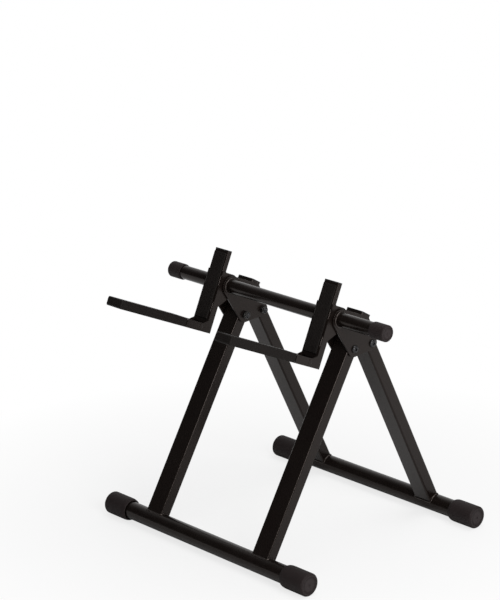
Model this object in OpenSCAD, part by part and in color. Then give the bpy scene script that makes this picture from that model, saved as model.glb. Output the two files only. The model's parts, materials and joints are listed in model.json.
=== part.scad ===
// Folding floor stand with two tilted support arms and a backrest.
// Millimetres. X runs to the right, Y to the back and Z up.
// The origin is on the floor, midway between the two foot bars.

/* [Height] */
// Height of the point where the axes of the front and rear legs cross
crossing_z = 405; // [380:1:430]

/* [Foot bars] */
// Length of a foot bar over its caps
foot_len = 506; // [460:1:600]
// Outside diameter of a foot bar
foot_d = 32; // [28:0.5:34]
// Wall of the round tubes
pipe_wall = 1.5; // [1:0.1:2.5]

/* [Foot caps] */
// Outside diameter of a foot cap, which sets the height of the bars
cap_d = 41; // [38:0.5:44]
// Length of a foot cap
cap_len = 55; // [50:1:80]
// Thickness of the closed end of a foot cap
cap_end = 5; // [3:0.5:8]
// Radius of the rounded rim of the closed end
cap_round = 3.5; // [1:0.5:4]
// Length of the rounded shoulder at the mouth
cap_shoulder = 11; // [4:0.5:14]

/* [Legs] */
// Width of the leg tube, along X, and of the support arms
leg_w = 38; // [34:0.5:44]
// Thickness of the leg tube, front to back
leg_t = 23; // [20:0.5:25]
// Wall of the rectangular tubes
tube_wall = 1.5; // [1:0.1:2]
// Outside corner radius of the leg tube
leg_r = 3; // [1:0.1:4]
// Distance between the middles of the left and right legs
leg_gauge = 271; // [250:1:300]
// Angle of the front legs from the floor, leaning back
front_angle = 60; // [58:0.5:62]
// Angle of the rear legs from the floor, leaning forward
rear_angle = 62.5; // [61:0.5:64]

/* [Hinge plates] */
// Thickness of a hinge plate
plate_t = 3; // [2:0.5:4]
// Metal left around the holes of a plate
plate_rim = 5.5; // [4:0.5:7]
// Room for a nylon washer between a plate and a leg
plate_gap = 0.6; // [0.5:0.1:1]
// From the crossing of the leg axes down the rear leg to its pivot
pivot_drop = 44; // [40:1:48]
// From the crossing of the leg axes down the front leg to its lower bolt
bolt_drop = 46; // [40:1:50]
// Front leg left above its upper bolt
leg_over = 17; // [14:1:20]
// Diameter of the leg bolts and pivot bolts
bolt_d = 8; // [6:0.5:8]
// Outside diameter of a pivot bush
bush_d = 12; // [11:0.5:13]

/* [Support arms] */
// Tilt of the support arms, front end up
arm_tilt = 23.5; // [20:0.5:26]
// From the crossing of the leg axes forward to the rear top edge of the arms
seat_forward = 99; // [95:0.5:103]
// From the crossing of the leg axes down to the rear top edge of the arms
seat_drop = 43.4; // [38:0.2:48]
// Length of a support arm with its bracket
arm_len = 225; // [180:1:260]
// Thickness of a support arm over its rubber boot
arm_t = 16; // [15:0.5:18]
// Rubber at the sides and the front end of an arm
boot_side = 3; // [2.5:0.1:4]
// Rubber above and below the steel core of an arm
boot_top = 2; // [2:0.1:2.5]
// Corner radius of the rubber boot
boot_r = 1.5; // [0.5:0.1:2.5]
// From the back of the bracket forward to the arm pivot
arm_pivot_u = 27; // [25:0.5:30]
// Steel core left behind the arm pivot
arm_tail = 13; // [10:0.5:15]
// Diameter of the riveted pin that an arm folds on
arm_pin_d = 6; // [5:0.5:6]
// Wall of the bush on an arm pin
arm_bush_wall = 1; // [0.8:0.1:1.5]

/* [Corner brackets] */
// Length of a corner bracket along the arm
bracket_len = 62; // [56:1:70]
// Bare steel between a bracket and the rubber boot
bare_core = 1; // [1:0.5:4]
// Sheet thickness of the back of a bracket
web_t = 2.7; // [2:0.1:3]
// Bracket left above the backrest bar
bracket_over = 8; // [5:0.5:12]

/* [Backrest] */
// Outside diameter of the backrest bar
rest_d = 25; // [22:0.5:27]
// Length of the backrest bar over its caps
rest_len = 532; // [440:1:560]
// Height of the backrest bar above the top of the arms
rest_rise = 75; // [70:0.5:80]
// Rubber of a backrest cap around the bar
rest_cap_wall = 2; // [1:0.1:3]
// Length of a backrest cap
rest_cap_len = 32; // [20:1:40]
// Thickness of the closed end of a backrest cap
rest_cap_end = 2.5; // [2:0.5:5]
// Height of the uprights above the top of the arms
upright_rise = 132; // [115:1:160]
// Thickness of an upright
upright_t = 10; // [8:0.5:12]
// Thickness of the rubber strip on an upright
strip_t = 3; // [2:0.5:4]
// Bare upright left around the rubber strip
strip_margin = 4; // [2:0.5:6]

/* [Hidden] */
$fn = 64;
run_gap = 0.05;             // radial clearance of a bolt in its bush
face_gap = 0.3;             // clearance between faces that slide or meet
cut = 0.1;                  // how far a cut runs past the face it opens
arc_step = 10;              // degrees between the points of a rounded profile
plug_clear = 1;             // from a plug to the nearest bolt
plug_head = 2;
small_r = 1;                // corner radius of the uprights and their strips
nose = 2.5;                 // chamfer on the front corners of a bracket's cheeks
bolt_head_d = 1.75;         // proportions of a round-headed bolt, to its diameter
bolt_head_h = 0.5;
bolt_crown_d = 1.05;
bolt_hex_d = 0.62;
bolt_hex_floor = 0.2;
bolt_tail = 1.25;
nut_across = 1.625;         // proportions of a lock nut, to its bolt
nut_hex_h = 0.7;
nut_collar = 0.9;           // width of its collar, to the width across its flats
pin_head_d = 1.7;           // proportions of a countersunk pin head, to the pin
pin_head_h = 0.3;

cap_r = cap_d / 2;
leg_x = leg_gauge / 2;
leg_rise = crossing_z - cap_r;
front_run = leg_rise / tan(front_angle);
rear_run = leg_rise / tan(rear_angle);
foot_spread = front_run + rear_run;        // between the axes of the two foot bars
crossing_y = (front_run - rear_run) / 2;
front_reach = leg_rise / sin(front_angle); // along a front leg to the crossing
rear_reach = leg_rise / sin(rear_angle);
apex = 180 - front_angle - rear_angle;
leg_bolts_at = [front_reach - bolt_drop, front_reach];     // along a front leg
front_top = front_reach + leg_over;
pivot_at = rear_reach - pivot_drop;                        // along a rear leg
rear_top = rear_reach - (leg_t / 2 + face_gap + leg_t / 2 * cos(apex)) / sin(apex);
plate_in = leg_w / 2 + plate_gap;          // from the middle of a leg to a plate
plate_out = plate_in + plate_t;
washer_t = plate_gap - face_gap / 3;
plug_depth = leg_over - bolt_d / 2 - plug_clear;

seat_y = crossing_y - seat_forward;
seat_z = crossing_z - seat_drop;
arm_w = leg_w;
core_w = arm_w - 2 * boot_side;
core_t = arm_t - 2 * boot_top;
core_r = tube_wall;
core_start = arm_pivot_u - arm_tail;
arm_pivot_n = -arm_t / 2;
tail_sweep = norm([arm_tail, core_t / 2]);  // what the rear end of a core sweeps
cheek_t = boot_side - face_gap;
cheek_in = arm_w / 2 - cheek_t;
shelf_start = arm_pivot_u + tail_sweep + 2 * face_gap;
shelf_t = boot_top - face_gap;
boot_start = bracket_len + bare_core;
arm_bush_d = arm_pin_d + 2 * arm_bush_wall;

rest_u = -rest_d / 2;                      // the bar lies against the bracket's back
rest_cap_d = rest_d + 2 * rest_cap_wall;
upright_w = 2 * cheek_in;
upright_u = web_t + upright_t / 2;
bracket_rise = rest_rise + rest_d / 2 + bracket_over;

// ---- places, as [y, z] ----

function on_front_leg(along) =
    [along * cos(front_angle) - foot_spread / 2, cap_r + along * sin(front_angle)];

function on_rear_leg(along) =
    [foot_spread / 2 - along * cos(rear_angle), cap_r + along * sin(rear_angle)];

function on_seat(u, n) =
    [seat_y - u * cos(arm_tilt) + n * sin(arm_tilt), seat_z + u * sin(arm_tilt) + n * cos(arm_tilt)];

pivot = on_rear_leg(pivot_at);
rest = on_seat(rest_u, rest_rise);
arm_pivot = on_seat(arm_pivot_u, arm_pivot_n);

// ---- frames that the pieces are drawn in ----

module at(place, x = 0) {
    translate([x, place[0], place[1]]) children();
}

// Z runs up a front leg from its foot bar, and Y points back and down.
module front_frame(along = 0) {
    at(on_front_leg(along)) rotate([front_angle - 90, 0, 0]) children();
}

// Z runs up a rear leg from its foot bar, and Y points back and up.
module rear_frame(along = 0) {
    at(on_rear_leg(along)) rotate([90 - rear_angle, 0, 0]) children();
}

// Y runs back along the top of an arm and Z stands square on it. u is forward, n is up.
module seat_frame(u = 0, n = 0) {
    at(on_seat(u, n)) rotate([-arm_tilt, 0, 0]) children();
}

// Z runs forward along an arm.
module arm_frame(u) {
    seat_frame(u, arm_pivot_n) rotate([90, 0, 0]) children();
}

// The left side is a mirror image of the right side.
module mirrored(side) {
    mirror([side < 0 ? 1 : 0, 0, 0]) children();
}

module on_side(side) {
    mirrored(side) translate([leg_x, 0, 0]) children();
}

module on_both_sides() {
    for (side = [-1, 1]) on_side(side) children();
}

// ---- shapes that repeat ----

// A cylinder along X, centred on x.
module rod(d, len, x = 0) {
    translate([x, 0, 0]) rotate([0, 90, 0]) cylinder(d = d, h = len, center = true);
}

// A ring or pipe along X, from x0 to x1.
module ring(outer, bore, x0, x1) {
    difference() {
        rod(outer, x1 - x0, (x0 + x1) / 2);
        rod(bore, x1 - x0 + 2 * cut, (x0 + x1) / 2);
    }
}

module pipe(d, len) {
    ring(d, d - 2 * pipe_wall, -len / 2, len / 2);
}

module rounded_rect(w, h, r) {
    square([w - 2 * r, h], center = true);
    square([w, h - 2 * r], center = true);
    for (sx = [-1, 1], sy = [-1, 1])
        translate([sx * (w / 2 - r), sy * (h / 2 - r)]) circle(r = r);
}

module tube_bore(w, t, r) {
    rounded_rect(w - 2 * tube_wall, t - 2 * tube_wall, max(r - tube_wall, tube_wall / 3));
}

module box_tube(w, t, r, len) {
    linear_extrude(height = len) difference() {
        rounded_rect(w, t, r);
        tube_bore(w, t, r);
    }
}

// A push-in plug for a rectangular tube, from z = -plug_depth to the top of its head.
module tube_plug(w, t, r, head) {
    translate([0, 0, -plug_depth]) linear_extrude(height = plug_depth) tube_bore(w, t, r);
    if (head > 0) linear_extrude(height = head) rounded_rect(w, t, r);
}

// Points on an arc round [x, y], from one angle to another.
function arc(x, y, r, from, to) =
    let (steps = ceil(abs(to - from) / arc_step))
    [for (k = [0:steps]) let (a = from + (to - from) * k / steps)
        [x + r * cos(a), y + r * sin(a)]];

// A cap on the end of a bar. Its mouth is at x = 0 and its closed end at x = len.
module end_cap(outer_d, inner_d, len, end, edge, shoulder) {
    outer_r = outer_d / 2;
    mouth_r = inner_d / 2 + (outer_d - inner_d) / 6;
    shoulder_arc = [for (a = [0:arc_step:90])
        [mouth_r + (outer_r - mouth_r) * sin(a), shoulder * (1 - cos(a))]];
    edge_arc = arc(outer_r - edge, len - edge, edge, 0, 90);
    rotate([0, 90, 0]) rotate_extrude() polygon(concat(
        [[inner_d / 2, 0]], shoulder_arc, edge_arc,
        [[0, len], [0, len - end], [inner_d / 2, len - end]]));
}

module foot_bar() {
    pipe(foot_d, foot_len - 2 * cap_end);
}

module foot_cap(side) {
    mirrored(side) translate([foot_len / 2 - cap_len, 0, 0])
        end_cap(cap_d, foot_d, cap_len, cap_end, cap_round, cap_shoulder);
}

// A leg tube with its foot coped over the bar.
module leg(top) {
    difference() {
        box_tube(leg_w, leg_t, leg_r, top);
        rod(foot_d, leg_w + 2 * cut);
    }
}

// A round-headed bolt along X, with its head outside x = reach and its end past its nut.
module bolt(d, reach) {
    difference() {
        union() {
            rod(d, 2 * reach + bolt_tail * d, -bolt_tail * d / 2);
            translate([reach, 0, 0]) rotate([0, 90, 0])
                cylinder(d1 = bolt_head_d * d, d2 = bolt_crown_d * d, h = bolt_head_h * d);
        }
        translate([reach + bolt_hex_floor * d, 0, 0]) rotate([0, 90, 0])
            cylinder(d = bolt_hex_d * d, h = bolt_head_h * d, $fn = 6);
    }
}

// A lock nut along X, outside x = -reach.
module lock_nut(d, reach) {
    across = nut_across * d;
    translate([-reach, 0, 0]) rotate([0, -90, 0]) difference() {
        union() {
            cylinder(d = across / cos(30), h = nut_hex_h * d, $fn = 6);
            cylinder(d = nut_collar * across, h = d);
        }
        translate([0, 0, -cut]) cylinder(d = d, h = d + 2 * cut);
    }
}

// A pin along X, riveted flush in countersinks at x = reach and x = -reach.
module riveted_pin(d, reach) {
    rod(d, 2 * reach);
    for (face = [-1, 1]) mirrored(face) translate([reach - pin_head_h * d, 0, 0])
        rotate([0, 90, 0]) cylinder(d1 = d, d2 = pin_head_d * d, h = pin_head_h * d);
}

// The outline of a belt round circles [x, y, r], which are given anticlockwise.
module belt(spots) {
    count = len(spots);
    aims = [for (i = [0:count - 1]) let (
        a = spots[i],
        b = spots[(i + 1) % count],
        run = [b[0] - a[0], b[1] - a[1]])
        atan2(run[1], run[0]) - acos((a[2] - b[2]) / norm(run))];
    polygon([for (i = [0:count - 1]) let (
        spot = spots[i],
        first = aims[(i + count - 1) % count],
        turn = (aims[i] - first + 360) % 360)
        each arc(spot[0], spot[1], spot[2], first, first + turn)]);
}

// ---- front frame ----

module front_foot_bar() {
    color("#141414") at(on_front_leg(0)) foot_bar();
}

module front_cap(side) {
    color("#202020") at(on_front_leg(0)) foot_cap(side);
}

module front_leg(side) {
    color("#121212") on_side(side) difference() {
        front_frame() leg(front_top);
        for (along = leg_bolts_at) at(on_front_leg(along)) rod(bolt_d, leg_w + 2 * cut);
    }
}

module front_leg_plugs() {
    color("#1c1c1c") on_both_sides() front_frame(front_top)
        tube_plug(leg_w, leg_t, leg_r, plug_head);
}

// ---- hinge plates, which carry the backrest bar and join the legs ----

module hinge_plate(side, face) {
    rest_r = rest_d / 2 + plate_rim;
    bolt_r = leg_t / 2 + plate_rim / 2;
    pivot_r = bush_d / 2 + plate_rim + face_gap;
    spots = [concat(on_front_leg(leg_bolts_at[0]), bolt_r), concat(pivot, pivot_r),
             concat(on_front_leg(leg_bolts_at[1]), bolt_r), concat(rest, rest_r)];
    x0 = face > 0 ? plate_in : -plate_out;
    color("#161616") on_side(side) difference() {
        translate([x0, 0, 0]) rotate([90, 0, 90]) linear_extrude(height = plate_t) belt(spots);
        at(rest, x0) rod(rest_d, 3 * plate_t);
        at(pivot, x0) rod(bolt_d, 3 * plate_t);
        for (along = leg_bolts_at) at(on_front_leg(along), x0) rod(bolt_d, 3 * plate_t);
    }
}

module leg_bolts() {
    color("#2b2b2b") on_both_sides() for (along = leg_bolts_at)
        at(on_front_leg(along)) bolt(bolt_d, plate_out);
}

module leg_nuts() {
    color("#3a3a3a") on_both_sides() for (along = leg_bolts_at)
        at(on_front_leg(along)) lock_nut(bolt_d, plate_out);
}

module leg_washers() {
    color("#d8d6cc") on_both_sides() for (along = leg_bolts_at, face = [-1, 1])
        at(on_front_leg(along)) mirrored(face) ring(2 * bolt_d, bolt_d, leg_w / 2, plate_in);
}

module pivot_bolts() {
    color("#2b2b2b") on_both_sides() at(pivot) bolt(bolt_d, plate_out);
}

module pivot_nuts() {
    color("#3a3a3a") on_both_sides() at(pivot) lock_nut(bolt_d, plate_out);
}

// ---- backrest ----

module backrest_bar() {
    color("#151515") at(rest) pipe(rest_d, rest_len - 2 * rest_cap_end);
}

module backrest_cap(side) {
    color("#202020") at(rest) mirrored(side) translate([rest_len / 2 - rest_cap_len, 0, 0])
        end_cap(rest_cap_d, rest_d, rest_cap_len, rest_cap_end, rest_cap_wall, 2 * rest_cap_wall);
}

// Side outline of a bracket, as [forward, up] in the seat frame.
module cheek_outline() {
    front = web_t + upright_t;
    lug = rest_d / 2 + bracket_over;
    lip = -boot_top / 2;
    gusset = rest_rise + rest_u - lug / cos(45);   // where a tangent at 45 degrees meets the back
    polygon(concat([
        [0, -arm_t], [bracket_len - nose, -arm_t], [bracket_len, nose - arm_t],
        [bracket_len, lip - nose], [bracket_len - nose, lip], [front + upright_t, lip],
        [front, upright_t / 2], [front, bracket_rise]],
        arc(rest_u, rest_rise, lug, 90, 225),
        [[0, gusset]]));
}

module cheek(outer_x) {
    translate([outer_x, 0, 0]) rotate([90, 0, -90])
        linear_extrude(height = cheek_t) cheek_outline();
}

module corner_bracket(side) {
    color("#151515") on_side(side) difference() {
        seat_frame() {
            cheek(arm_w / 2);
            cheek(-cheek_in);
            translate([-cheek_in, -web_t, -arm_t])
                cube([2 * cheek_in, web_t, arm_t + bracket_rise]);
            translate([-cheek_in, -bracket_len, -arm_t])
                cube([2 * cheek_in, bracket_len - shelf_start, shelf_t]);
        }
        at(rest) rod(rest_d, arm_w + 2 * cut);
        at(arm_pivot) riveted_pin(arm_pin_d, arm_w / 2);
    }
}

module upright(side) {
    color("#131313") on_side(side) seat_frame(upright_u, 0)
        box_tube(upright_w, upright_t, small_r, upright_rise);
}

module upright_plugs() {
    color("#1c1c1c") on_both_sides() seat_frame(upright_u, upright_rise)
        tube_plug(upright_w, upright_t, small_r, plug_head);
}

module backrest_strip(side) {
    strip_u = web_t + upright_t + strip_t / 2;
    color("#242424") on_side(side) seat_frame(strip_u, 2 * strip_margin)
        linear_extrude(height = upright_rise - 3 * strip_margin)
            rounded_rect(upright_w - strip_margin, strip_t, small_r);
}

module arm_pins() {
    color("#191919") on_both_sides() at(arm_pivot) riveted_pin(arm_pin_d, arm_w / 2);
}

// ---- rear frame ----

module rear_foot_bar() {
    color("#141414") at(on_rear_leg(0)) foot_bar();
}

module rear_cap(side) {
    color("#202020") at(on_rear_leg(0)) foot_cap(side);
}

module rear_leg(side) {
    color("#1a1a1a") on_side(side) difference() {
        rear_frame() leg(rear_top);
        at(pivot) rod(bush_d, leg_w + 2 * cut);
    }
}

// Flush plugs, because the top end of a rear leg is its stop.
module rear_leg_plugs() {
    color("#1c1c1c") on_both_sides() rear_frame(rear_top) tube_plug(leg_w, leg_t, leg_r, 0);
}

module pivot_bushes() {
    color("#8a8a86") on_both_sides() at(pivot)
        ring(bush_d, bolt_d + 2 * run_gap, -leg_w / 2, leg_w / 2);
}

module pivot_washers() {
    color("#d8d6cc") on_both_sides() at(pivot) for (face = [-1, 1]) mirrored(face)
        ring(2 * bolt_d, bolt_d + 2 * run_gap, leg_w / 2, leg_w / 2 + washer_t);
}

// ---- support arms ----

module arm_core(side) {
    color("#141414") on_side(side) difference() {
        arm_frame(core_start) box_tube(core_w, core_t, core_r, arm_len - boot_side - core_start);
        at(arm_pivot) rod(arm_bush_d, arm_w);
    }
}

module arm_boot(side) {
    color("#1b1b1b") on_side(side) difference() {
        arm_frame(boot_start) linear_extrude(height = arm_len - boot_start)
            rounded_rect(arm_w, arm_t, boot_r);
        arm_frame(0) linear_extrude(height = arm_len - boot_side)
            rounded_rect(core_w, core_t, core_r);
    }
}

module arm_bush(side) {
    color("#8a8a86") on_side(side) at(arm_pivot)
        ring(arm_bush_d, arm_pin_d + 2 * run_gap, -core_w / 2, core_w / 2);
}

// A short flush plug closes the rear end of the core.
module arm_plug(side) {
    color("#1c1c1c") on_side(side) arm_frame(core_start)
        linear_extrude(height = arm_tail / 2) tube_bore(core_w, core_t, core_r);
}

// ---- the nodes ----

front_foot_bar();
front_cap(-1);  // front_cap_left
front_cap(1);  // front_cap_right
front_leg(-1);  // front_leg_left
front_leg(1);  // front_leg_right
front_leg_plugs();
hinge_plate(-1, 1);  // plate_left_outer
hinge_plate(-1, -1);  // plate_left_inner
hinge_plate(1, -1);  // plate_right_inner
hinge_plate(1, 1);  // plate_right_outer
leg_bolts();
leg_nuts();
leg_washers();
pivot_bolts();
pivot_nuts();
backrest_bar();
backrest_cap(-1);  // backrest_cap_left
backrest_cap(1);  // backrest_cap_right
corner_bracket(-1);  // corner_bracket_left
corner_bracket(1);  // corner_bracket_right
upright(-1);  // upright_left
upright(1);  // upright_right
upright_plugs();
backrest_strip(-1);  // backrest_strip_left
backrest_strip(1);  // backrest_strip_right
arm_pins();
rear_foot_bar();
rear_cap(-1);  // rear_cap_left
rear_cap(1);  // rear_cap_right
rear_leg(-1);  // rear_leg_left
rear_leg(1);  // rear_leg_right
rear_leg_plugs();
pivot_bushes();
pivot_washers();
arm_core(-1);  // arm_core_left
arm_boot(-1);  // arm_boot_left
arm_bush(-1);  // arm_bush_left
arm_plug(-1);  // arm_plug_left
arm_core(1);  // arm_core_right
arm_boot(1);  // arm_boot_right
arm_bush(1);  // arm_bush_right
arm_plug(1);  // arm_plug_right
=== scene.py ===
import json
import math

import bmesh
import bpy
from mathutils import Matrix, Vector


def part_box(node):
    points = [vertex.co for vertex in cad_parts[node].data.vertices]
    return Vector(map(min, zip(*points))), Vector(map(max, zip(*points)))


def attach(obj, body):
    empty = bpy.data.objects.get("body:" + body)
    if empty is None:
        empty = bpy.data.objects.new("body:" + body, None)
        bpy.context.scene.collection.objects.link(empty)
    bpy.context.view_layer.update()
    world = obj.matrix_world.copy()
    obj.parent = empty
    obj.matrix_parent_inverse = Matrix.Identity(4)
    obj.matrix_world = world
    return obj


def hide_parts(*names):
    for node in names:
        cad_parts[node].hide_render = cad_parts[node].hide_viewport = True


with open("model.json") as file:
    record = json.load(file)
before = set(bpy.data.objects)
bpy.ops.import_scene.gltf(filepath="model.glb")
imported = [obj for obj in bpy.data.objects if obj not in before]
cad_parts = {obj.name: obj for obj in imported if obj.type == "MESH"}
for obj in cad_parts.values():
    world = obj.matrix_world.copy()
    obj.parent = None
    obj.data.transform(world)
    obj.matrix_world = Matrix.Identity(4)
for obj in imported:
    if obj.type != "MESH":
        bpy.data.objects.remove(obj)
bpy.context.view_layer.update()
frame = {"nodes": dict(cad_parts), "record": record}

nodes = frame["nodes"]
sides = ("left", "right")
mm = 0.001
alongBars = Vector((1, 0, 0))
fourCorners = ((1, 1), (-1, 1), (-1, -1), (1, -1))
bodyOf = {}
for body, members in frame["record"]["behaviour"]["bodies"].items():
    bodyOf.update({node: body for node in members})
slotOf = {part["node"]: part["material_slot"] for part in frame["record"]["subparts"]}
print("frame loaded,", len(nodes), "nodes")


# Driving sizes that the boxes of the nodes don't give. Millimetres, and degrees up from the back.
stand = {
    "frontLegAngle": 60,
    "rearLegAngle": 117.5,
    "armAngle": 156.5,
    "armLength": 225,
    "armWall": 2,
    "armSideWall": 3,
    "legDepth": 23,
    "legCorner": 3,
    "boltShank": 8,
    "pinShank": 6,
    "bracketSheet": 2.7,
    "uprightDepth": 10,
    "bracketTop": 95.5,
}


def middleOf(node):
    low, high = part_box(node)
    return (low + high) / 2


def sizeOf(node):
    low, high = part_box(node)
    return high - low


def frameAt(origin, angle):  # Z climbs at this angle from the back, X stays along the bars
    along = Vector((0, math.cos(math.radians(angle)), math.sin(math.radians(angle))))
    place = Matrix((alongBars, along.cross(alongBars), along)).transposed().to_4x4()
    place.translation = origin
    return place


def leaning(node, angle):  # length and thickness of a square-ended bar that leans at this angle
    size = sizeOf(node)
    run = abs(math.cos(math.radians(angle)))
    rise = abs(math.sin(math.radians(angle)))
    spread = run * run - rise * rise
    return (size.y * run - size.z * rise) / spread, (size.z * run - size.y * rise) / spread


def seatPlace(side):  # Z runs forward along an arm from its back end, Y stands square on its top
    node = f"arm_boot_{side}"
    length, thick = leaning(node, stand["armAngle"])
    place = frameAt(middleOf(node), stand["armAngle"])
    return place @ Matrix.Translation((0, thick / 2, length / 2 - stand["armLength"] * mm))


# The camera stands where the photograph was taken from. Degrees, metres, and pixels of the image.
view = {
    "aim": (-0.1132, 0.0, 0.3899),
    "azimuth": 46.45,
    "elevation": 17.06,
    "distance": 4.0246,
    "farthest": 100,
    "focalPixels": 2254.2,
    "imageWidth": 500,
    "sensor": 36,
}


def lookingAlong(azimuth, elevation):
    turn = math.radians(azimuth)
    climb = math.radians(elevation)
    return Vector((-math.sin(turn) * math.cos(climb), math.cos(turn) * math.cos(climb), -math.sin(climb)))


def addCamera():
    ahead = lookingAlong(view["azimuth"], view["elevation"])
    lens = bpy.data.cameras.new("camera")
    lens.sensor_fit = "HORIZONTAL"
    lens.sensor_width = view["sensor"]
    lens.lens = view["focalPixels"] / view["imageWidth"] * view["sensor"]
    lens.clip_end = view["farthest"]
    camera = bpy.data.objects.new("camera", lens)
    camera.location = Vector(view["aim"]) - ahead * view["distance"]
    camera.rotation_euler = ahead.to_track_quat("-Z", "Y").to_euler()
    bpy.context.scene.collection.objects.link(camera)
    bpy.context.scene.camera = camera
    bpy.context.scene.view_settings.view_transform = "Standard"


addCamera()
print("camera placed")


class Value:  # the output of a node, so that shader maths reads as sums
    def __init__(self, graph, socket):
        self.graph = graph
        self.socket = socket

    def reckon(self, operation, *terms):
        return self.graph.node("ShaderNodeMath", {"operation": operation}, dict(enumerate(terms)))

    def __add__(self, other):
        return self.reckon("ADD", self, other)

    def __radd__(self, other):
        return self.reckon("ADD", other, self)

    def __sub__(self, other):
        return self.reckon("SUBTRACT", self, other)

    def __rsub__(self, other):
        return self.reckon("SUBTRACT", other, self)

    def __mul__(self, other):
        return self.reckon("MULTIPLY", self, other)

    def __rmul__(self, other):
        return self.reckon("MULTIPLY", other, self)

    def __abs__(self):
        return self.reckon("ABSOLUTE", self)

    def orElse(self, other):  # the larger of the two
        return self.reckon("MAXIMUM", self, other)


class Graph:  # the node tree of a material or of the world
    def __init__(self, owner):
        owner.use_nodes = True
        self.owner = owner
        self.tree = owner.node_tree
        self.tree.nodes.clear()

    def node(self, kind, settings=None, sockets=None, output=0):
        made = self.tree.nodes.new(kind)
        for key, setting in (settings or {}).items():
            if key == "stops":
                self.setStops(made.color_ramp, setting)
            else:
                setattr(made, key, setting)
        for key, value in (sockets or {}).items():
            if isinstance(value, Value):
                self.tree.links.new(value.socket, made.inputs[key])
            else:
                made.inputs[key].default_value = value
        return Value(self, made.outputs[output]) if made.outputs else None

    def setStops(self, ramp, stops):  # a new ramp has two elements
        for element, (place, level) in zip(ramp.elements, stops):
            element.position = place
            element.color = (level, level, level, 1)

    def rise(self, value, start, end):  # 0 up to the start, 1 from the end
        return self.node("ShaderNodeValToRGB", {"stops": ((start, 0.0), (end, 1.0))}, {"Fac": value})

    def fall(self, value, start, end):  # 1 up to the start, 0 from the end
        return self.node("ShaderNodeValToRGB", {"stops": ((start, 1.0), (end, 0.0))}, {"Fac": value})

    def place(self, stretch=(1, 1, 1)):
        spot = self.node("ShaderNodeTexCoord", output="Object")
        return self.node("ShaderNodeMapping", sockets={"Vector": spot, "Scale": stretch})

    def axis(self, vector, letter):
        return self.node("ShaderNodeSeparateXYZ", sockets={"Vector": vector}, output=letter)

    def facing(self, letter):  # how much the surface looks along this axis at rest
        return self.axis(self.node("ShaderNodeTexCoord", output="Normal"), letter)

    def noise(self, scale, detail=2.0, roughness=0.5, stretch=(1, 1, 1)):
        return self.node("ShaderNodeTexNoise", sockets={
            "Vector": self.place(stretch), "Scale": scale, "Detail": detail, "Roughness": roughness})

    def specks(self, scale, size, core=0.6):  # 1 in the core of small round spots, 0 between them
        cells = self.node("ShaderNodeTexVoronoi", sockets={"Vector": self.place(), "Scale": scale})
        return self.fall(cells, size * core, size)

    def line(self, letter, middle, halfWidth):  # 1 along a line at this place on one axis
        away = abs(self.axis(self.place(), letter) - middle)
        return self.fall(away * (0.5 / halfWidth), 0.0, 0.5)

    def blend(self, share, first, second):  # sockets 0, 6 and 7 are the factor and the two colours
        return self.node("ShaderNodeMix", {"data_type": "RGBA"}, {0: share, 6: first, 7: second}, 2)

    def clouded(self, cloud, tone, warmth, clouds):
        dark, light = clouds
        return self.blend(cloud, tint(tone * dark, warmth), tint(tone * light, warmth))

    def relief(self, height, depth, strength=1.0, below=None):
        sockets = {"Strength": strength, "Distance": depth, "Height": height}
        if below:
            sockets["Normal"] = below
        return self.node("ShaderNodeBump", sockets=sockets)

    def shade(self, colour, roughness, normal, constants):
        sockets = {"Base Color": colour, "Roughness": roughness, "Normal": normal, **constants}
        surface = self.node("ShaderNodeBsdfPrincipled", sockets=sockets)
        self.node("ShaderNodeOutputMaterial", sockets={"Surface": surface})
        return self.owner


def newGraph(name):
    return Graph(bpy.data.materials.new(name))


def tint(level, warmth=(1.0, 1.0, 1.0)):
    return (level * warmth[0], level * warmth[1], level * warmth[2], 1.0)


# How the looks below are written:
# - tones are linear, depths and widths are metres
# - a noise is its features per metre, then its detail, roughness and stretch
# - a patch is the two levels of a noise between which something fades in
# - clouds are the darkest and lightest spots, in shares of the tone
# - a roughness is that of the smoothest spots, and cloudRoughness and its like are added to it

# Satin black powder coat, with orange peel, small specks of dust and a film of it on upward faces.
powder = {
    "tone": 0.0042,
    "warmth": (1.5, 1.0, 0.84),
    "cloudNoise": (11, 4, 0.6),
    "clouds": (0.82, 1.18),
    "cloudRoughness": 0.08,
    "peelNoise": (520, 1.5, 0.45),
    "peelDepth": 0.00009,
    "peelStrength": 0.8,
    "grainNoise": (1900, 1),
    "grainShare": 0.18,
    "grainRoughness": 0.05,
    "dustTone": 0.030,
    "speckScale": 330,
    "speckSize": 0.15,
    "speckNoise": (23, 3),
    "speckPatch": (0.45, 0.7),
    "speckShare": 0.25,
    "filmSlope": (0.35, 0.95),
    "filmNoise": (46, 5, 0.7),
    "filmPatch": (0.35, 0.85),
    "filmShare": 0.14,
    "filmRoughness": 0.12,
    "roughness": 0.18,
    "specular": 0.23,
    "glossTint": (1.0, 0.87, 0.81, 1.0),
}


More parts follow.
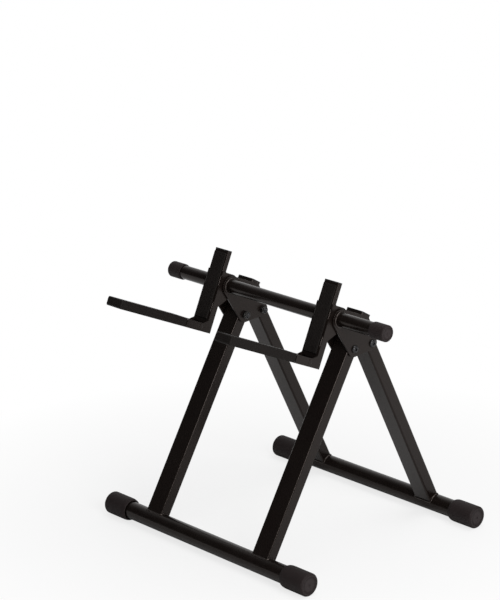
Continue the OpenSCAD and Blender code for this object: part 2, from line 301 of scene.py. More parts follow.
def powderCoat(name, tone=1.0, rougher=0.0, peel=1.0, dust=1.0, gloss=1.0):
    graph = newGraph(name)
    cloud = graph.noise(*powder["cloudNoise"])
    peelMap = graph.noise(*powder["peelNoise"])
    grain = graph.noise(*powder["grainNoise"])
    colour = graph.clouded(cloud, powder["tone"] * tone, powder["warmth"], powder["clouds"])
    specks = graph.specks(powder["speckScale"], powder["speckSize"])
    specks = specks * graph.rise(graph.noise(*powder["speckNoise"]), *powder["speckPatch"])
    film = graph.rise(graph.facing("Z"), *powder["filmSlope"])
    film = film * graph.rise(graph.noise(*powder["filmNoise"]), *powder["filmPatch"])
    dusty = (specks * powder["speckShare"] + film * powder["filmShare"]) * dust
    colour = graph.blend(dusty, colour, tint(powder["dustTone"]))
    roughness = (cloud * powder["cloudRoughness"] + grain * powder["grainRoughness"]
                 + film * powder["filmRoughness"] + (powder["roughness"] + rougher))
    height = peelMap + grain * powder["grainShare"]
    normal = graph.relief(height, powder["peelDepth"] * peel, powder["peelStrength"])
    return graph.shade(colour, roughness, normal, {
        "Specular IOR Level": powder["specular"] * gloss, "Specular Tint": powder["glossTint"]})


# Matte black moulded rubber of the end caps, with painted light that makes the end faces lighter, rubbed in
# spots, mostly near the floor, and with a parting line at the height of each bar.
capRubber = {
    "tone": 0.0100,
    "warmth": (1.38, 0.92, 0.92),
    "cloudNoise": (34, 5, 0.62),
    "clouds": (0.82, 1.2),
    "cloudRoughness": 0.12,
    "grainNoise": (1300, 3, 0.6),
    "grainDepth": 0.00010,
    "grainStrength": 0.7,
    "pitScale": 900,
    "pitSize": 0.20,
    "pitShare": 0.5,
    # painted light: the end faces are drawn lighter and warmer, as if lit from the side
    "paintedLightEndTone": 0.025,
    "paintedLightEndWarmth": (1.22, 0.95, 0.97),
    "paintedLightEndFacing": (0.975, 0.995),
    "paintedLightMottle": 0.5,
    "scuffTone": 0.045,
    "scuffNoise": (210, 4, 0.7, (1, 0.35, 0.35)),
    "scuffPatch": (0.60, 0.78),
    "scuffShare": 0.10,
    "scuffRoughness": 0.08,
    "floorScale": 40,  # brings the heights near the floor to between 0 and 1
    "floorPatch": (0.05, 0.75),
    "floorShare": 0.30,
    "partingWidth": 0.00035,
    "partingDepth": 0.00020,
    "roughness": 0.62,
    "specular": 0.20,
}


def mouldedCaps(name):
    graph = newGraph(name)
    cloud = graph.noise(*capRubber["cloudNoise"])
    grain = graph.noise(*capRubber["grainNoise"])
    pits = graph.specks(capRubber["pitScale"], capRubber["pitSize"])
    colour = graph.clouded(cloud, capRubber["tone"], capRubber["warmth"], capRubber["clouds"])
    # painted light: faces that look along the bars are drawn lighter, in patches that follow the clouds
    paintedLightPatches = cloud * capRubber["paintedLightMottle"] + (1 - capRubber["paintedLightMottle"])
    paintedLightEnd = graph.rise(abs(graph.facing("X")), *capRubber["paintedLightEndFacing"]) * paintedLightPatches
    colour = graph.blend(paintedLightEnd, colour, tint(capRubber["paintedLightEndTone"], capRubber["paintedLightEndWarmth"]))
    rubbed = graph.rise(graph.noise(*capRubber["scuffNoise"]), *capRubber["scuffPatch"])
    height = graph.axis(graph.place(), "Z") * capRubber["floorScale"]
    nearFloor = graph.fall(height, *capRubber["floorPatch"])
    scuffs = rubbed * (nearFloor * capRubber["floorShare"] + capRubber["scuffShare"])
    colour = graph.blend(scuffs, colour, tint(capRubber["scuffTone"]))
    parting = graph.line("Z", middleOf("front_foot_bar").z, capRubber["partingWidth"])
    parting = parting + graph.line("Z", middleOf("backrest_bar").z, capRubber["partingWidth"])
    skin = graph.relief(grain - pits * capRubber["pitShare"], capRubber["grainDepth"],
                        capRubber["grainStrength"])
    normal = graph.relief(parting, capRubber["partingDepth"], 1.0, skin)
    roughness = (cloud * capRubber["cloudRoughness"] + rubbed * capRubber["scuffRoughness"]
                 + capRubber["roughness"])
    return graph.shade(colour, roughness, normal, {"Specular IOR Level": capRubber["specular"]})


# Soft rubber of the boots on the arms and of the strips on the backrest.
softRubber = {
    "tone": 0.0052,
    "warmth": (1.32, 1.0, 0.88),
    "cloudNoise": (19, 4, 0.6),
    "clouds": (0.75, 1.25),
    "cloudRoughness": 0.08,
    "grainDetail": (3, 0.68),
    "grainStrength": 0.85,
    "grainRoughness": 0.16,
    "fleckTone": 0.026,
    "fleckPatch": (0.52, 0.74),
    "roughness": 0.48,
    "specular": 0.11,
}


def grainedRubber(name, fleckShare, grainScale, grainDepth):
    graph = newGraph(name)
    cloud = graph.noise(*softRubber["cloudNoise"])
    grain = graph.noise(grainScale, *softRubber["grainDetail"])
    colour = graph.clouded(cloud, softRubber["tone"], softRubber["warmth"], softRubber["clouds"])
    flecks = graph.rise(grain, *softRubber["fleckPatch"]) * fleckShare
    colour = graph.blend(flecks, colour, tint(softRubber["fleckTone"], softRubber["warmth"]))
    roughness = (grain * softRubber["grainRoughness"] + cloud * softRubber["cloudRoughness"]
                 + softRubber["roughness"])
    normal = graph.relief(grain, grainDepth, softRubber["grainStrength"])
    return graph.shade(colour, roughness, normal, {"Specular IOR Level": softRubber["specular"]})


# Hard moulded plastic of the plugs, nut inserts and washers.
plastic = {
    "cloudNoise": (60, 3),
    "clouds": (0.86, 1.1),
    "cloudRoughness": 0.10,
    "grainNoise": (2100, 2, 0.6),
    "grainDepth": 0.00006,
    "grainStrength": 0.6,
    "grainRoughness": 0.05,
}


def mouldedPlastic(name, tone, roughness, warmth, constants):
    graph = newGraph(name)
    cloud = graph.noise(*plastic["cloudNoise"])
    grain = graph.noise(*plastic["grainNoise"])
    colour = graph.clouded(cloud, tone, warmth, plastic["clouds"])
    normal = graph.relief(grain, plastic["grainDepth"], plastic["grainStrength"])
    roughness = cloud * plastic["cloudRoughness"] + grain * plastic["grainRoughness"] + roughness
    return graph.shade(colour, roughness, normal, constants)


# Turned steel, bare or blackened, with fine turning marks round an axis along X.
metal = {
    "cloudNoise": (150, 5, 0.65),
    "cloudShare": 0.4,
    "cloudRoughness": 0.16,
    "markNoise": (1, 2, 0.5, (5200, 420, 420)),
    "markDepth": 0.00004,
    "markStrength": 0.6,
    "markRoughness": 0.12,
}


def turnedMetal(name, tone, roughness, warmth, stain):
    graph = newGraph(name)
    cloud = graph.noise(*metal["cloudNoise"])
    marks = graph.noise(*metal["markNoise"])
    colour = graph.clouded(cloud, tone, warmth, (1 - stain, 1 + stain))
    normal = graph.relief(marks + cloud * metal["cloudShare"], metal["markDepth"], metal["markStrength"])
    roughness = cloud * metal["cloudRoughness"] + marks * metal["markRoughness"] + roughness
    return graph.shade(colour, roughness, normal, {"Metallic": 1.0})


# One finish for each material slot, and one each for the welds and the nut inserts.
finishes = {
    "tube_paint": powderCoat("tubePaint"),
    "bar_paint": powderCoat("barPaint", tone=0.90, rougher=-0.03, peel=0.8),
    "plate_paint": powderCoat("platePaint", tone=1.08, rougher=0.05, peel=1.2),
    "weld": powderCoat("weldPaint", tone=1.2, rougher=-0.06, peel=0.4, dust=0.4, gloss=2.0),
    "foot_rubber": mouldedCaps("capRubber"),
    "strip_rubber": grainedRubber("stripRubber", fleckShare=0.18, grainScale=780, grainDepth=0.00014),
    "boot_rubber": grainedRubber("bootRubber", fleckShare=0.30, grainScale=640, grainDepth=0.00018),
    "plug_plastic": mouldedPlastic("plugPlastic", 0.0095, 0.41, (1, 1, 1), {"Specular IOR Level": 0.45}),
    "black_bolt": turnedMetal("blackOxide", 0.050, 0.26, (1.0, 0.99, 1.02), stain=0.35),
    "black_nut": turnedMetal("blackZinc", 0.075, 0.22, (1.03, 1.0, 0.97), stain=0.35),
    "nut_insert": mouldedPlastic("nutInsert", 0.045, 0.43, (0.8, 0.9, 1.2), {}),
    "washer_nylon": mouldedPlastic("washerNylon", 0.62, 0.35, (1.04, 1.0, 0.90), {"Subsurface Weight": 0.15}),
    "bush_steel": turnedMetal("turnedSteel", 0.48, 0.16, (1.02, 1.0, 0.97), stain=0.18),
}
for node, piece in nodes.items():
    for materialSlot in piece.material_slots:
        materialSlot.material = finishes[slotOf[node]]
print("finishes made:", len(finishes))


def addPiece(name, mesh, body, slot, finish=None, instead=()):
    data = bpy.data.meshes.new(name)
    mesh.to_mesh(data)
    mesh.free()
    piece = bpy.data.objects.new(name, data)
    bpy.context.scene.collection.objects.link(piece)
    data.materials.append(finishes[finish or slot])
    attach(piece, body)
    if instead:
        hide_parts(*instead)
    return piece


def standIn(node, mesh, ending):  # a piece that takes the place, body and slot of a node
    return addPiece(f"{node}_{ending}", mesh, bodyOf[node], slotOf[node], instead=[node])


def crisp(mesh, angle):  # faces point outward, and those that meet under this angle are smooth
    bmesh.ops.recalc_face_normals(mesh, faces=mesh.faces)
    for face in mesh.faces:
        face.smooth = True
    for edge in mesh.edges:
        edge.smooth = len(edge.link_faces) == 2 and edge.calc_face_angle() < math.radians(angle)


def keepFlats(piece):  # flat faces stay flat in the light beside their rounded edges
    weigh = piece.modifiers.new("keepFlats", "WEIGHTED_NORMAL")
    weigh.keep_sharp = True
    weigh.weight = 90  # of 100, how far the large faces win over the small ones


def joinRings(mesh, rings, closed=False):
    pairs = list(zip(rings, rings[1:]))
    if closed:
        pairs.append((rings[-1], rings[0]))
    for first, second in pairs:
        for step in range(len(first)):
            after = (step + 1) % len(first)
            mesh.faces.new((first[step], first[after], second[after], second[step]))


def closeEnds(mesh, rings):
    for ring in (rings[0], rings[-1]):
        middle = mesh.verts.new(sum((vert.co for vert in ring), Vector()) / len(ring))
        for step in range(len(ring)):
            mesh.faces.new((ring[step], ring[(step + 1) % len(ring)], middle))


def quarterTurn(steps):  # angles from 0 to a quarter turn, in radians
    return [math.radians(90 * step / steps) for step in range(steps + 1)]


def arc(along, radius, bend, start, end, steps):  # points of a profile, with angles in degrees
    turns = [math.radians(start + (end - start) * step / steps) for step in range(steps + 1)]
    return [(along + bend * math.cos(turn), radius + bend * math.sin(turn)) for turn in turns]


# Turns a profile round an axis along X. A profile point is a place along the axis and a radius,
# and the radius may be a function of the angle, for a hexagon.
def turnedBody(mesh, axis, side, profile, segments, closed=False):
    rings = []
    for along, radius in profile:
        ring = []
        for step in range(segments):
            turn = 2 * math.pi * step / segments
            reach = radius(turn) if callable(radius) else radius
            ring.append(mesh.verts.new((side * along, axis.y + reach * math.cos(turn),
                                        axis.z + reach * math.sin(turn))))
        rings.append(ring)
    joinRings(mesh, rings, closed)
    if not closed:
        closeEnds(mesh, rings)


# Rubber end caps in millimetres: a relieved mouth with a rounded lip, a swept shoulder, a rounded
# rim, and an end with a shallow dish in which the gate mark of the mould stands.
footCap = {"bar": 32, "end": 5, "rim": 4.0, "shoulder": 11, "lip": 0.8, "relief": 5, "gap": 1.3,
           "dishRadius": 15.2, "dish": 0.55, "gate": 1.7}
restCap = {"bar": 25, "end": 2.5, "rim": 2.4, "shoulder": 4, "lip": 0.5, "relief": 3, "gap": 0.5,
           "dishRadius": 10.8, "dish": 0.4, "gate": 1.2}

# What both moulds have: the hub and corner of the bore's floor in shares of its radius, the end of the
# relief in shares of its length, and points of the dish's edge and of the gate mark, each a depth in
# shares of the dish's depth and a radius in shares of that depth or of the gate's radius.
capMould = {
    "hub": 0.1,
    "corner": 0.1,
    "reliefEnd": 0.7,
    "lipSteps": 4,
    "shoulderSteps": 14,
    "rimSteps": 8,
    "dishEdge": ((0.0, 1.0), (0.35, 0.0), (1.0, -1.0)),
    "gateMark": ((1.0, 2.2), (0.4, 1.5), (0.4, 1.0), (1.3, 0.7), (1.4, 0.2)),
    "segments": 96,
    "crisp": 62,
}


def endCap(node, look):
    low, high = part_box(node)
    outer = (high.z - low.z) / 2
    mouth, tip = sorted((abs(low.x), abs(high.x)))
    bore = look["bar"] * mm / 2
    corner = bore * capMould["corner"]
    floor = tip - look["end"] * mm
    lip, rim, shoulder = look["lip"] * mm, look["rim"] * mm, look["shoulder"] * mm
    relief, inner = look["relief"] * mm, bore + look["gap"] * mm
    dish, dishRadius, gate = look["dish"] * mm, look["dishRadius"] * mm, look["gate"] * mm
    profile = [(floor, bore * capMould["hub"]), (floor, bore - corner), (floor - corner, bore),
               (mouth + relief, bore), (mouth + relief * capMould["reliefEnd"], inner)]
    profile += arc(mouth + lip, inner + lip, lip, 270, 180, capMould["lipSteps"])
    for turn in quarterTurn(capMould["shoulderSteps"])[1:]:
        profile.append((mouth + lip + (shoulder - lip) * (1 - math.cos(turn)),
                        inner + lip + (outer - inner - lip) * math.sin(turn)))
    profile.append(((mouth + shoulder + tip - rim) / 2, outer))
    profile += arc(tip - rim, outer - rim, rim, 90, 0, capMould["rimSteps"])
    profile += [(tip - dish * deep, dishRadius + dish * out) for deep, out in capMould["dishEdge"]]
    profile += [(tip - dish * deep, gate * out) for deep, out in capMould["gateMark"]]
    mesh = bmesh.new()
    turnedBody(mesh, middleOf(node), 1 if high.x > 0 else -1, profile, capMould["segments"])
    crisp(mesh, capMould["crisp"])
    standIn(node, mesh, "moulded")


for side in sides:
    endCap(f"front_cap_{side}", footCap)
    endCap(f"rear_cap_{side}", footCap)
    endCap(f"backrest_cap_{side}", restCap)
print("end caps moulded")


def solidsIn(node):  # the box of each separate solid in a node
    mesh = bmesh.new()
    mesh.from_mesh(nodes[node].data)
    bmesh.ops.remove_doubles(mesh, verts=mesh.verts, dist=0.01 * mm)
    left = set(mesh.verts)
    boxes = []
    while left:
        stack = [left.pop()]
        found = []
        while stack:
            vert = stack.pop()
            found.append(vert.co.copy())
            for edge in vert.link_edges:
                other = edge.other_vert(vert)
                if other in left:
                    left.remove(other)
                    stack.append(other)
        boxes.append([Vector(pick(spot[axis] for spot in found) for axis in range(3)) for pick in (min, max)])
    mesh.free()
    return sorted(boxes, key=lambda box: tuple(round(edge, 5) for edge in box[0]))


def hexagon(acrossFlats, turned=0.0, limit=math.inf):  # radius by angle, cut to a circle by limit
    def radius(turn):
        part = (turn + turned) % (math.pi / 3) - math.pi / 6
        return min(acrossFlats / 2 / math.cos(part), limit)
    return radius


# Button-head bolts, in shares of the shank's diameter. The skirt's rounding is a share of the skirt,
# the flat and mouth round the socket are shares of the socket's width, and crestSpan is where the
# crest of a thread lies in its pitch.
buttonHead = {
    "radius": 0.875,
    "skirt": 0.07,
    "skirtRound": 0.4,
    "crown": 0.5,
    "domeSteps": 10,
    "socket": 0.60,
    "socketFlat": 0.72,
    "socketMouth": 0.64,
    "socketEdge": 0.03,
    "socketDepth": 0.34,
    "socketFloor": 0.1,
    "socketPoint": 0.04,
    "tailEnd": ((0.0, 0.36), (0.1, 0.45)),
    "threadStart": 0.15,
    "threadLength": 0.75,
    "threadDepth": 0.065,
    "threadCrest": 0.495,
    "crestSpan": (0.4, 0.6),
    "pitch": 1.25 * mm,
    "segments": 72,
}


def buttonBolt(mesh, low, high, shank):
    middle = (low + high) / 2
    side = 1 if middle.x > 0 else -1
    tail, head = sorted((low.x * side, high.x * side))
    under = head - buttonHead["crown"] * shank
    wide = buttonHead["radius"] * shank
    skirt = buttonHead["skirt"] * shank
    rounding = skirt * buttonHead["skirtRound"]
    socket = buttonHead["socket"] * shank
    flat = socket * buttonHead["socketFlat"]
    bottom = head - buttonHead["socketDepth"] * shank
    pitch = buttonHead["pitch"]
    root = shank * (0.5 - buttonHead["threadDepth"])
    crest = shank * buttonHead["threadCrest"]
    profile = [(tail + shank * along, shank * out) for along, out in buttonHead["tailEnd"]]
    for turn in range(int(buttonHead["threadLength"] * shank / pitch)):
        start = tail + shank * buttonHead["threadStart"] + turn * pitch
        profile.append((start, root))
        profile += [(start + pitch * share, crest) for share in buttonHead["crestSpan"]]
    profile += [(start + pitch, shank / 2), (under, shank / 2),
                (under, wide - rounding), (under + rounding, wide)]
    for turn in quarterTurn(buttonHead["domeSteps"]):
        profile.append((under + skirt + (head - under - skirt) * math.sin(turn),
                        flat + (wide - flat) * math.cos(turn)))
    profile += [(head, socket * buttonHead["socketMouth"]),
                (head - shank * buttonHead["socketEdge"], hexagon(socket)), (bottom, hexagon(socket)),
                (bottom - shank * buttonHead["socketFloor"], shank * buttonHead["socketPoint"])]
    turnedBody(mesh, middle, side, profile, buttonHead["segments"])


# Lock nuts with a plastic insert, in shares of the shank, or of the width across flats for the washer
# face and the collar. The collar's rolled edge is written in shares of the roll, from the collar's
# radius and from the bore's, and the insert in shares of the shank, from the bore's radius.
nutLook = {
    "hexHeight": 0.7,
    "washerFace": 0.475,
    "collarRadius": 0.45,
    "chamfer": 0.55,
    "chamferSteps": 5,
    "rollIn": 0.12,
    "rolledEdge": ((1.0, 0.0), (0.25, -0.4), (0.0, -1.0)),
    "rolledMouth": ((0.0, 1.0), (0.5, 0.8)),
    "insert": ((0.30, 0.09), (0.04, 0.09), (0.01, 0.05), (0.07, 0.005), (0.30, 0.005)),
    "segments": 72,
    "insertSegments": 48,
    "crisp": 33,
}


def lockNut(nuts, inserts, low, high, shank):
    middle = (low + high) / 2
    size = high - low
    side = 1 if middle.x > 0 else -1
    far, near = sorted((low.x * side, high.x * side))
    flats = min(size.y, size.z)
    corner = flats / math.sqrt(3)
    turned = math.pi / 6 if size.z > size.y else 0.0  # the corners point up or to the back
    bore = shank / 2
    face = flats * nutLook["washerFace"]
    collar = flats * nutLook["collarRadius"]
    chamfer = (corner - flats / 2) * nutLook["chamfer"]
    hexEnd = near - nutLook["hexHeight"] * shank
    roll = shank * nutLook["rollIn"]
    shares = [step / nutLook["chamferSteps"] for step in range(nutLook["chamferSteps"] + 1)]
    cuts = [(chamfer * share, hexagon(flats, turned, face + (corner - face) * share)) for share in shares]
    profile = [(near, bore), (near, face)]
    profile += [(near - deep, outline) for deep, outline in cuts[1:]]
    profile += [(hexEnd + deep, outline) for deep, outline in reversed(cuts)]
    profile.append((hexEnd, collar))
    profile += [(far + roll * along, collar + roll * out) for along, out in nutLook["rolledEdge"]]
    profile += [(far + roll * along, bore + roll * out) for along, out in nutLook["rolledMouth"]]
    turnedBody(nuts, middle, side, profile, nutLook["segments"], closed=True)
    ring = [(far + shank * along, bore + shank * out) for along, out in nutLook["insert"]]
    turnedBody(inserts, middle, side, ring, nutLook["insertSegments"], closed=True)


def addFasteners(kind):
    shank = stand["boltShank"] * mm
    bolts, nuts, inserts = bmesh.new(), bmesh.new(), bmesh.new()
    for low, high in solidsIn(f"{kind}_bolts"):
        buttonBolt(bolts, low, high, shank)
    for low, high in solidsIn(f"{kind}_nuts"):
        lockNut(nuts, inserts, low, high, shank)
    for mesh in (bolts, nuts, inserts):
        crisp(mesh, nutLook["crisp"])
    standIn(f"{kind}_bolts", bolts, "turned")
    standIn(f"{kind}_nuts", nuts, "turned")
    addPiece(f"{kind}_nut_inserts", inserts, bodyOf[f"{kind}_nuts"], "black_nut", "nut_insert")


addFasteners("leg")
addFasteners("pivot")
print("bolts and nuts turned")


# Pins that the arms fold on, riveted over in countersinks, in shares of the pin's diameter. The tip
# is what is left of the head's radius at the top of its crown.
rivet = {"headRadius": 0.85, "headDepth": 0.3, "crown": 0.04, "groove": 0.03, "tip": 0.02,
         "crownSteps": 6, "segments": 48, "crisp": 40}


def addRivetedPins():
    mesh = bmesh.new()
    pin = stand["pinShank"] * mm
    wide = rivet["headRadius"] * pin
    groove = rivet["groove"] * pin
    for low, high in solidsIn("arm_pins"):
        middle = (low + high) / 2
        reach = (high.x - low.x) / 2
        half = [(reach - rivet["headDepth"] * pin, pin / 2), (reach - groove, wide), (reach, wide - groove)]
        for step in range(1, rivet["crownSteps"] + 1):
            left = 1 - step / rivet["crownSteps"]
            half.append((reach + rivet["crown"] * pin * (1 - left ** 2),
                         (wide - groove) * (left + rivet["tip"])))
        profile = [(middle.x - along, radius) for along, radius in reversed(half)]
        profile += [(middle.x + along, radius) for along, radius in half]
        turnedBody(mesh, middle, 1, profile, rivet["segments"])
    crisp(mesh, rivet["crisp"])
    standIn("arm_pins", mesh, "riveted")


addRivetedPins()
print("arm pins riveted")


# How far the sharp edges of the cut and folded parts are eased, in millimetres, with angles in degrees.
easing = {"plate": 0.5, "bracket": 0.5, "upright": 0.3, "core": 0.3, "plug": 0.7,
          "sameSpot": 0.002, "flatFold": 0.6, "sharpFold": 28, "crisp": 50}


def eased(node, width, segments=2):
    mesh = bmesh.new()
    mesh.from_mesh(nodes[node].data)
    bmesh.ops.remove_doubles(mesh, verts=mesh.verts, dist=easing["sameSpot"] * mm)
    bmesh.ops.dissolve_limit(mesh, angle_limit=math.radians(easing["flatFold"]),
                             verts=mesh.verts, edges=mesh.edges)
    folds = [edge for edge in mesh.edges
             if len(edge.link_faces) == 2 and edge.calc_face_angle() > math.radians(easing["sharpFold"])]
    bmesh.ops.bevel(mesh, geom=folds, offset=width * mm, segments=segments, profile=0.5,
                    affect="EDGES", clamp_overlap=True)
    bmesh.ops.triangulate(mesh, faces=[face for face in mesh.faces if len(face.verts) > 4])
    crisp(mesh, easing["crisp"])
    keepFlats(standIn(node, mesh, "eased"))


for side in sides:
    eased(f"plate_{side}_outer", easing["plate"], 3)
    eased(f"plate_{side}_inner", easing["plate"], 3)
    eased(f"corner_bracket_{side}", easing["bracket"])
    eased(f"upright_{side}", easing["upright"])
    eased(f"arm_core_{side}", easing["core"])
eased("front_leg_plugs", easing["plug"], 3)
eased("upright_plugs", easing["plug"], 3)
print("edges eased")


def roundedRectangle(width, height, corner, steps):  # points of its outline, corner after corner
    outline = []
    for quarter, (sideways, up) in enumerate(fourCorners):
        for bend in quarterTurn(steps):
            turn = math.pi / 2 * quarter + bend
            outline.append((sideways * (width / 2 - corner) + corner * math.cos(turn),
                            up * (height / 2 - corner) + corner * math.sin(turn)))
    return outline


# Rubber boots drawn over the arms, in millimetres: a rounded nose, and a mouth rolled onto the steel.
boot = {"corner": 2.0, "cornerSteps": 5, "nose": 3.0, "noseCorner": 3.2, "noseSteps": 8, "roll": 1.0,
        "rollSteps": 4, "mouthDepth": 25, "coreCorner": 1.5, "crisp": 60}


def armBoot(side):
    node = f"arm_boot_{side}"
    length, thick = leaning(node, stand["armAngle"])
    width = sizeOf(node).x
    place = frameAt(middleOf(node), stand["armAngle"])
    nose, roll, corner = boot["nose"] * mm, boot["roll"] * mm, boot["corner"] * mm
    noseCorner = boot["noseCorner"] * mm
    front, back = length / 2, -length / 2
    sections = []  # how far in from the sides and from the top, corner radius, place along the arm
    for step, turn in enumerate(quarterTurn(boot["noseSteps"])):
        inset = nose * (1 - math.sin(turn))
        bend = corner + (noseCorner - corner) * (1 - step / boot["noseSteps"])
        sections.append((inset, inset, bend, front - nose * (1 - math.cos(turn))))
    for turn in quarterTurn(boot["rollSteps"]):
        inset = roll * (1 - math.cos(turn))
        sections.append((inset, inset, corner, back + roll * (1 - math.sin(turn))))
    for along in (back, back + boot["mouthDepth"] * mm):
        sections.append((stand["armSideWall"] * mm, stand["armWall"] * mm, boot["coreCorner"] * mm, along))
    mesh = bmesh.new()
    rings = []
    for beside, above, bend, along in sections:
        outline = roundedRectangle(width - 2 * beside, thick - 2 * above, bend, boot["cornerSteps"])
        rings.append([mesh.verts.new(place @ Vector((x, y, along))) for x, y in outline])
    joinRings(mesh, rings)
    closeEnds(mesh, rings)
    crisp(mesh, boot["crisp"])
    keepFlats(standIn(node, mesh, "drawn"))


for side in sides:
    armBoot(side)
print("arm boots drawn on")


# Ribbed rubber strips on the uprights, in millimetres.
strip = {"ribs": 9, "ribDepth": 0.7, "edge": 1.0, "end": 1.3, "endSteps": 6, "columnsPerRib": 8,
         "crisp": 55}


def ribbedStrip(side):
    node = f"backrest_strip_{side}"
    angle = stand["armAngle"] - 90
    length, thick = leaning(node, angle)
    width = sizeOf(node).x
    place = frameAt(middleOf(node), angle)
    edge, end = strip["edge"] * mm, strip["end"] * mm
    columns = strip["ribs"] * strip["columnsPerRib"]
    stations = [(length / 2 - end * (1 - math.sin(turn)), end * (1 - math.cos(turn)))
                for turn in quarterTurn(strip["endSteps"])]
    stations = [(-along, drop) for along, drop in reversed(stations)] + stations
    mesh = bmesh.new()
    rings = []
    for along, drop in stations:
        ring = []
        for column in range(columns + 1):
            across = width * column / columns
            wave = math.cos(2 * math.pi * column / strip["columnsPerRib"])
            groove = strip["ribDepth"] * mm * (1 - wave) / 2
            inward = max(0.0, edge - min(across, width - across))
            shoulder = edge - math.sqrt(edge * edge - inward * inward)
            ring.append(mesh.verts.new(place @ Vector((
                across - width / 2, max(groove, shoulder, drop) - thick / 2, along))))
        for across in (width / 2, -width / 2):
            ring.append(mesh.verts.new(place @ Vector((across, thick / 2, along))))
        rings.append(ring)
    joinRings(mesh, rings)
    closeEnds(mesh, rings)
    crisp(mesh, strip["crisp"])
    standIn(node, mesh, "ribbed")


for side in sides:
    ribbedStrip(side)
print("backrest strips ribbed")


# Weld beads in millimetres: the radius of each kind, the pitch of the ripples and their depth in
# shares of the radius, how far they curve in shares of the pitch, and how far an end tapers.
weld = {
    "footRadius": 2.1,
    "plateRadius": 2.0,
    "bracketRadius": 1.7,
    "stitchRadius": 1.4,
    "pitch": 1.9,
    "ripple": 0.20,
    "curve": 0.35,
    "crater": 2.2,
    "sides": 10,
    "spotsPerRipple": 5,
    "crisp": 60,
}


def evenSpots(path, closed):  # the path again, in spots that suit a whole number of ripples
    legs = list(zip(path, path[1:] + path[:1] if closed else path[1:]))
    total = sum((end - start).length for start, end in legs)
    count = max(2, round(total / (weld["pitch"] * mm))) * weld["spotsPerRipple"]
    gap = total / count
    spots = []
    walked = 0.0
    for start, end in legs:
        run = (end - start).length
        while len(spots) < count and len(spots) * gap <= walked + run:
            spots.append(start.lerp(end, (len(spots) * gap - walked) / run))
        walked += run
    return spots, gap


def weldBead(mesh, path, up, radius, closed):
    spots, gap = evenSpots(path, closed)
    count = len(spots)
    rings = []
    for index, spot in enumerate(spots):
        after = spots[(index + 1) % count] if closed or index < count - 1 else spot
        before = spots[index - 1] if closed or index > 0 else spot
        ahead = (after - before).normalized()
        outward = ahead.cross(up).normalized()
        lift = outward.cross(ahead)
        inFromEnd = (min(index, count - 1 - index) + 0.5) * gap / (weld["crater"] * mm)
        swell = 1.0 if closed else math.sqrt(min(1.0, inFromEnd))
        ring = []
        for corner in range(weld["sides"]):
            turn = 2 * math.pi * corner / weld["sides"]
            phase = index / weld["spotsPerRipple"] + weld["curve"] * math.cos(turn)
            reach = radius * mm * swell * (1 - weld["ripple"] * (1 - abs(math.sin(math.pi * phase))))
            ring.append(mesh.verts.new(spot + (outward * math.cos(turn) + lift * math.sin(turn)) * reach))
        rings.append(ring)
    joinRings(mesh, rings, closed)
    if not closed:
        closeEnds(mesh, rings)


def addWelds(name, mesh, node, slot):  # beads that ride with a node
    crisp(mesh, weld["crisp"])
    addPiece(name, mesh, bodyOf[node], slot, "weld")


def footSeam(bar, leg, angle, steps=6):  # the line where a leg's coped end meets its foot bar
    place = frameAt(Vector((middleOf(leg).x, middleOf(bar).y, middleOf(bar).z)), angle)
    barRadius = sizeOf(bar).z / 2
    seam = roundedRectangle(sizeOf(leg).x, stand["legDepth"] * mm, stand["legCorner"] * mm, steps)
    path = []
    for (across, deep), (nextAcross, nextDeep) in zip(seam, seam[1:] + seam[:1]):
        for step in range(steps):
            x = across + (nextAcross - across) * step / steps
            y = deep + (nextDeep - deep) * step / steps
            path.append(place @ Vector((x, y, math.sqrt(barRadius ** 2 - y ** 2))))
    return path, place.to_3x3() @ Vector((0, 0, 1))


def addFootWelds():
    for end, angle in (("front", stand["frontLegAngle"]), ("rear", stand["rearLegAngle"])):
        for side in sides:
            leg = f"{end}_leg_{side}"
            mesh = bmesh.new()
            path, up = footSeam(f"{end}_foot_bar", leg, angle)
            weldBead(mesh, path, up, weld["footRadius"], True)
            addWelds(f"{end}_foot_weld_{side}", mesh, leg, "tube_paint")


# Beads round the backrest bar, in millimetres and degrees: how far the middle of a bead lies off the
# bar, how far inside a cheek, and the angles of the path, for a bracket from straight back.
barWeld = {"plateLift": 0.5, "plateTurns": range(0, 360, 6),
           "bracketLift": 0.4, "bracketTurns": range(-110, 111, 5), "bracketInset": 0.3}


def roundBar(x, lift, turns):  # a path round the backrest bar
    bar = middleOf("backrest_bar")
    radius = sizeOf("backrest_bar").z / 2 + lift * mm
    angles = [math.radians(turn) for turn in turns]
    return [Vector((x, bar.y + radius * math.cos(angle), bar.z + radius * math.sin(angle)))
            for angle in angles]


def addPlateWelds():  # on the open face of each hinge plate
    for side in sides:
        outer = max((corner.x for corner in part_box(f"plate_{side}_outer")), key=abs)
        inner = min((corner.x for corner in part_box(f"plate_{side}_inner")), key=abs)
        mesh = bmesh.new()
        for x in (outer, inner):
            path = roundBar(x, barWeld["plateLift"], barWeld["plateTurns"])
            weldBead(mesh, path, alongBars, weld["plateRadius"], True)
        addWelds(f"bar_weld_{side}", mesh, "backrest_bar", "plate_paint")


def addBracketWelds():  # round the back of the bar, on the inner face of each of a bracket's cheeks
    backward = stand["armAngle"] - 180
    turns = [backward + turn for turn in barWeld["bracketTurns"]]
    for side in sides:
        bracket = f"corner_bracket_{side}"
        inset = (stand["bracketSheet"] + barWeld["bracketInset"]) * mm
        mesh = bmesh.new()
        for face in (-1, 1):
            x = middleOf(bracket).x + face * (sizeOf(bracket).x / 2 - inset)
            path = roundBar(x, barWeld["bracketLift"], turns)
            weldBead(mesh, path, alongBars, weld["bracketRadius"], False)
        addWelds(f"bracket_weld_{side}", mesh, "backrest_bar", "plate_paint")


# Stitches that hold an upright between the cheeks, in millimetres up from the top of the arm, and one
# over its back at the top of each cheek, which stops short of the upright's front.
stitches = {"lower": (20, 40), "upper": (68, 88), "seamRise": 0.4, "stopShort": 1}


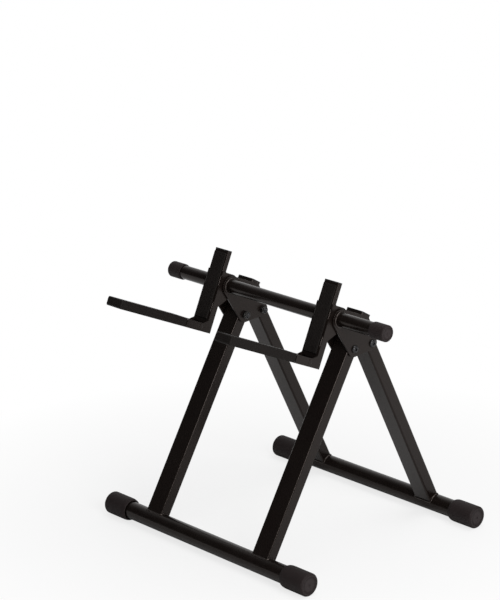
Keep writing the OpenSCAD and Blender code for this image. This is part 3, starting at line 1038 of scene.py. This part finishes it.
def addUprightWelds():
    rise = stitches["seamRise"]
    back = stand["bracketSheet"]
    front = back + stand["uprightDepth"] - rise
    top = stand["bracketTop"] + rise
    for side in sides:
        upright = f"upright_{side}"
        seat = seatPlace(side)
        seat.translation.x = middleOf(upright).x
        half = sizeOf(upright).x / 2 / mm
        mesh = bmesh.new()
        for face in (-1, 1):
            inner, outer = face * half, face * (half + rise)
            seams = [((inner, start, front), (inner, end, front))
                     for start, end in (stitches["lower"], stitches["upper"])]
            seams.append(((outer, top, back), (outer, top, front - stitches["stopShort"])))
            for seam in seams:
                path = [seat @ (Vector(spot) * mm) for spot in seam]
                weldBead(mesh, path, alongBars, weld["stitchRadius"], False)
        addWelds(f"upright_weld_{side}", mesh, upright, "plate_paint")


addFootWelds()
addPlateWelds()
addBracketWelds()
addUprightWelds()
print("welds laid")


# The floor shows white further out and keeps the object's shadow close to it. Metres and shares.
floor = {"reach": 20, "tone": 0.76, "shadowStart": 0.30, "shadowEnd": 0.80, "shadowShare": 0.24}


def addFloor():
    mesh = bmesh.new()
    mesh.faces.new([mesh.verts.new((x * floor["reach"], y * floor["reach"], 0)) for x, y in fourCorners])
    data = bpy.data.meshes.new("floor")
    mesh.to_mesh(data)
    mesh.free()
    piece = bpy.data.objects.new("floor", data)
    bpy.context.scene.collection.objects.link(piece)
    graph = newGraph("paleFloor")
    seen = graph.node("ShaderNodeLightPath", output="Is Camera Ray")
    mirrored = graph.node("ShaderNodeLightPath", output="Is Glossy Ray")
    mirrored = mirrored.orElse(graph.node("ShaderNodeLightPath", output="Is Transmission Ray"))
    away = graph.node("ShaderNodeVectorMath", {"operation": "LENGTH"}, {0: graph.place()}, "Value")
    far = graph.rise(away * (1 / floor["shadowEnd"]), floor["shadowStart"] / floor["shadowEnd"], 1.0)
    white = seen * (far * floor["shadowShare"] + (1 - floor["shadowShare"])) + mirrored * far
    matte = graph.node("ShaderNodeBsdfDiffuse", sockets={"Color": tint(floor["tone"])})
    glow = graph.node("ShaderNodeEmission", sockets={"Color": tint(1), "Strength": 1.0})
    surface = graph.node("ShaderNodeMixShader", sockets={0: white, 1: matte, 2: glow})
    graph.node("ShaderNodeOutputMaterial", sockets={"Surface": surface})
    data.materials.append(graph.owner)


# The room is bright behind the object and dim in front of it. The start and end are how far a
# direction agrees with the one the camera looks in.
room = {"dim": 0.085, "bright": 0.95, "start": 0.25, "end": 0.95}


def lightRoom():
    graph = Graph(bpy.data.worlds.new("studio"))
    bpy.context.scene.world = graph.owner
    behind = lookingAlong(view["azimuth"], 0)
    direction = graph.node("ShaderNodeTexCoord", output="Generated")
    towards = graph.node("ShaderNodeVectorMath", {"operation": "DOT_PRODUCT"},
                         {0: direction, 1: behind}, "Value")
    level = graph.node("ShaderNodeMapRange", {"interpolation_type": "SMOOTHSTEP"}, {
        "Value": towards, "From Min": room["start"], "From Max": room["end"],
        "To Min": room["dim"], "To Max": room["bright"]})
    seen = graph.node("ShaderNodeLightPath", output="Is Camera Ray")
    strength = seen + (1 - seen) * level
    background = graph.node("ShaderNodeBackground", sockets={"Color": tint(1), "Strength": strength})
    graph.node("ShaderNodeOutputWorld", sockets={"Surface": background})


# Soft lamps: where they stand, the edge of their panel in metres, and their power in watts.
lamps = {
    "side": {"place": (2.6, -0.9, 1.5), "edge": 1.6, "power": 70},
    "overhead": {"place": (0.5, 0.3, 2.9), "edge": 2.0, "power": 45},
}
lampAim = Vector((0, 0, 0.2))


def addLamps():
    for name, lamp in lamps.items():
        light = bpy.data.lights.new(name, "AREA")
        light.shape = "SQUARE"
        light.size = lamp["edge"]
        light.energy = lamp["power"]
        piece = bpy.data.objects.new(name, light)
        piece.location = lamp["place"]
        piece.rotation_euler = (lampAim - piece.location).to_track_quat("-Z", "Y").to_euler()
        bpy.context.scene.collection.objects.link(piece)


addFloor()
lightRoom()
addLamps()
print("studio lit")
